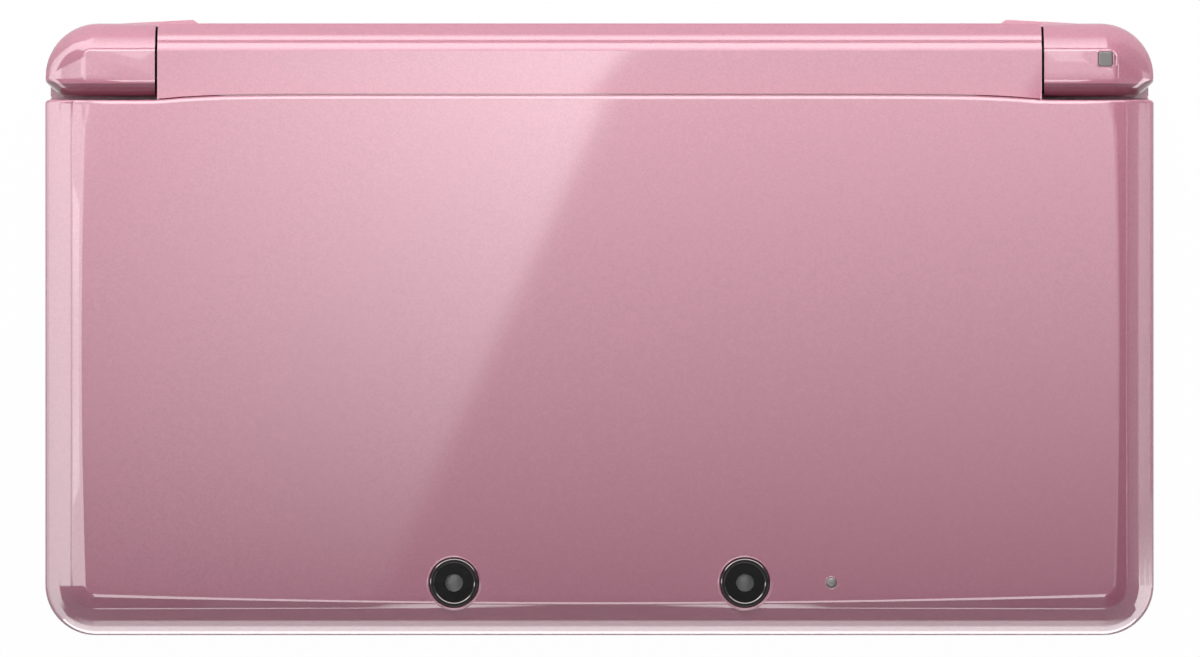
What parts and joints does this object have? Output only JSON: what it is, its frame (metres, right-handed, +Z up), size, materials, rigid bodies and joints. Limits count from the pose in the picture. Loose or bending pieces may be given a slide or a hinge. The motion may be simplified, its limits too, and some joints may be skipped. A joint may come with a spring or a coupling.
{
  "type": "clamshell handheld game console",
  "caption": "Folding handheld console: bevelled pearl lid with two outer cameras hinged over a base with touch display, slide pad, cross pad, buttons, shoulder keys and card slot.",
  "frame": {"origin": "centre of the footprint on the resting surface, console closed", "axes": "+X to the right across the width, +Y from the front edge to the hinge, +Z up through the closed lid"},
  "size_m": [0.134, 0.0746, 0.021],
  "materials": {
    "pearl_shell": "pearl paint under clear coat",
    "pearl_faceplate": "satin pearl paint",
    "gloss_bezel": "high gloss",
    "display_glass": "smooth gloss",
    "display_panel": "smooth",
    "black_plastic": "fine texture",
    "camera_ring": "polished",
    "camera_glass": "polished",
    "circuit_board": "solder mask",
    "light_guide": "frosted",
    "rubber_pad": "matt",
    "steel": "plated",
    "flex_film": "film",
    "battery_case": "satin",
    "infrared_window": "dark tint",
    "carriage_plastic": "smooth",
    "grey_control": "satin",
    "white_button": "gloss",
    "key_plastic": "gloss",
    "stylus_plastic": "satin"
  },
  "bodies": {
    "base": {"bottom_cover": "pearl_shell", "lower_housing": "pearl_shell", "control_faceplate": "pearl_faceplate", "hinge_cap_left": "pearl_shell", "hinge_cap_right": "pearl_shell", "notification_light": "light_guide", "power_lights": "light_guide", "hinge_shaft": "steel", "hinge_bush": "black_plastic", "hinge_flex": "flex_film", "base_screws": "steel", "battery": "battery_case", "main_board": "circuit_board", "wireless_module": "steel", "card_slot": "steel", "sd_socket": "steel", "charge_port": "black_plastic", "headphone_jack": "black_plastic", "ir_window": "infrared_window", "touch_display": "display_panel", "touch_lens": "display_glass", "slide_pad_module": "black_plastic", "dpad_membrane": "rubber_pad", "button_membrane": "rubber_pad"},
    "lid": {"lid_panel": "pearl_shell", "lid_frame": "pearl_shell", "screen_bezel": "gloss_bezel", "upper_display": "display_glass", "speaker_left": "black_plastic", "speaker_right": "black_plastic", "camera_ring_left": "camera_ring", "camera_ring_right": "camera_ring", "camera_window_left": "camera_glass", "camera_window_right": "camera_glass", "camera_module": "circuit_board", "camera_light": "light_guide", "bezel_bumpers": "rubber_pad", "lid_screws": "steel", "hinge_unit": "steel"},
    "depth_slider": {"depth_slider": "black_plastic"},
    "slide_pad_carriage_x": {"slide_pad_carriage_x": "carriage_plastic"},
    "slide_pad_carriage_y": {"slide_pad_carriage_y": "carriage_plastic"},
    "slide_pad_cap": {"slide_pad_cap": "grey_control"},
    "dpad_pivot": {"dpad_pivot": "black_plastic"},
    "dpad": {"dpad": "grey_control"},
    "face_button_right": {"face_button_right": "white_button"},
    "face_button_bottom": {"face_button_bottom": "white_button"},
    "face_button_top": {"face_button_top": "white_button"},
    "face_button_left": {"face_button_left": "white_button"},
    "select_key": {"select_key": "key_plastic"},
    "home_key": {"home_key": "key_plastic"},
    "start_key": {"start_key": "key_plastic"},
    "power_key": {"power_key": "key_plastic"},
    "shoulder_left": {"shoulder_left": "pearl_shell"},
    "shoulder_right": {"shoulder_right": "pearl_shell"},
    "volume_slider": {"volume_slider": "black_plastic"},
    "wireless_switch": {"wireless_switch": "black_plastic"},
    "card_door": {"card_door": "pearl_shell"},
    "stylus_tip": {"stylus_tip": "stylus_plastic"},
    "stylus_handle": {"stylus_handle": "black_plastic"}
  },
  "joints": [
    {"name": "lid_hinge", "type": "hinge", "parent": "base", "child": "lid", "pos_m": [0, 0.032, 0.0148], "axis": [-1, 0, 0], "range_deg": [0, 155]},
    {"name": "face_button_right_press", "type": "slide", "parent": "base", "child": "face_button_right", "axis": [0, 0, -1], "range_m": [0, 0.0006], "stiffness_N_per_m": 400, "springref_m": -0.0005},
    {"name": "face_button_top_press", "type": "slide", "parent": "base", "child": "face_button_top", "axis": [0, 0, -1], "range_m": [0, 0.0006], "stiffness_N_per_m": 400, "springref_m": -0.0005},
    {"name": "face_button_left_press", "type": "slide", "parent": "base", "child": "face_button_left", "axis": [0, 0, -1], "range_m": [0, 0.0006], "stiffness_N_per_m": 400, "springref_m": -0.0005},
    {"name": "face_button_bottom_press", "type": "slide", "parent": "base", "child": "face_button_bottom", "axis": [0, 0, -1], "range_m": [0, 0.0006], "stiffness_N_per_m": 400, "springref_m": -0.0005},
    {"name": "select_key_press", "type": "slide", "parent": "base", "child": "select_key", "axis": [0, 0, -1], "range_m": [0, 0.0003], "stiffness_N_per_m": 600, "springref_m": -0.0005},
    {"name": "home_key_press", "type": "slide", "parent": "base", "child": "home_key", "axis": [0, 0, -1], "range_m": [0, 0.0003], "stiffness_N_per_m": 600, "springref_m": -0.0005},
    {"name": "start_key_press", "type": "slide", "parent": "base", "child": "start_key", "axis": [0, 0, -1], "range_m": [0, 0.0003], "stiffness_N_per_m": 600, "springref_m": -0.0005},
    {"name": "power_key_press", "type": "slide", "parent": "base", "child": "power_key", "axis": [0, 0, -1], "range_m": [0, 0.0003], "stiffness_N_per_m": 600, "springref_m": -0.0005},
    {"name": "slide_pad_x", "type": "slide", "parent": "base", "child": "slide_pad_carriage_x", "axis": [1, 0, 0], "range_m": [-0.0024, 0.0024], "stiffness_N_per_m": 150},
    {"name": "slide_pad_y", "type": "slide", "parent": "slide_pad_carriage_x", "child": "slide_pad_cap", "axis": [0, 1, 0], "range_m": [-0.0024, 0.0024], "stiffness_N_per_m": 150},
    {"name": "slide_pad_y_carriage", "type": "slide", "parent": "base", "child": "slide_pad_carriage_y", "axis": [0, 1, 0], "range_m": [-0.0024, 0.0024]},
    {"name": "dpad_rock_front_back", "type": "hinge", "parent": "base", "child": "dpad_pivot", "pos_m": [-0.0515, -0.014, 0.00835], "axis": [1, 0, 0], "range_deg": [-2, 2], "stiffness_Nm_per_rad": 0.2},
    {"name": "dpad_rock_sideways", "type": "hinge", "parent": "dpad_pivot", "child": "dpad", "pos_m": [-0.0515, -0.014, 0.00835], "axis": [0, 1, 0], "range_deg": [-2, 2], "stiffness_Nm_per_rad": 0.2},
    {"name": "shoulder_left_press", "type": "hinge", "parent": "base", "child": "shoulder_left", "pos_m": [-0.0472, 0.035, 0.0067], "axis": [0, 0, 1], "range_deg": [0, 3], "stiffness_Nm_per_rad": 0.3, "springref_deg": -2.86},
    {"name": "shoulder_right_press", "type": "hinge", "parent": "base", "child": "shoulder_right", "pos_m": [0.0472, 0.035, 0.0067], "axis": [0, 0, -1], "range_deg": [0, 3], "stiffness_Nm_per_rad": 0.3, "springref_deg": -2.86},
    {"name": "volume_slide", "type": "slide", "parent": "base", "child": "volume_slider", "axis": [0, 1, 0], "range_m": [-0.0024, 0.0024]},
    {"name": "wireless_switch_slide", "type": "slide", "parent": "base", "child": "wireless_switch", "axis": [0, 1, 0], "range_m": [0, 0.002], "stiffness_N_per_m": 100, "springref_m": -0.002},
    {"name": "depth_slide", "type": "slide", "parent": "lid", "child": "depth_slider", "axis": [0, -1, 0], "range_m": [0, 0.008]},
    {"name": "card_door_swing", "type": "hinge", "parent": "base", "child": "card_door", "pos_m": [-0.0662, 0.0235, 0.006], "axis": [0, 0, -1], "range_deg": [0, 95]},
    {"name": "stylus_pull", "type": "slide", "parent": "base", "child": "stylus_tip", "axis": [0, 1, 0], "range_m": [0, 0.066]},
    {"name": "stylus_extend", "type": "slide", "parent": "stylus_tip", "child": "stylus_handle", "axis": [0, 1, 0], "range_m": [0, 0.028]}
  ],
  "couplings": [
    {"joint": "slide_pad_y_carriage", "follows": "slide_pad_y", "ratio": 1}
  ]
}
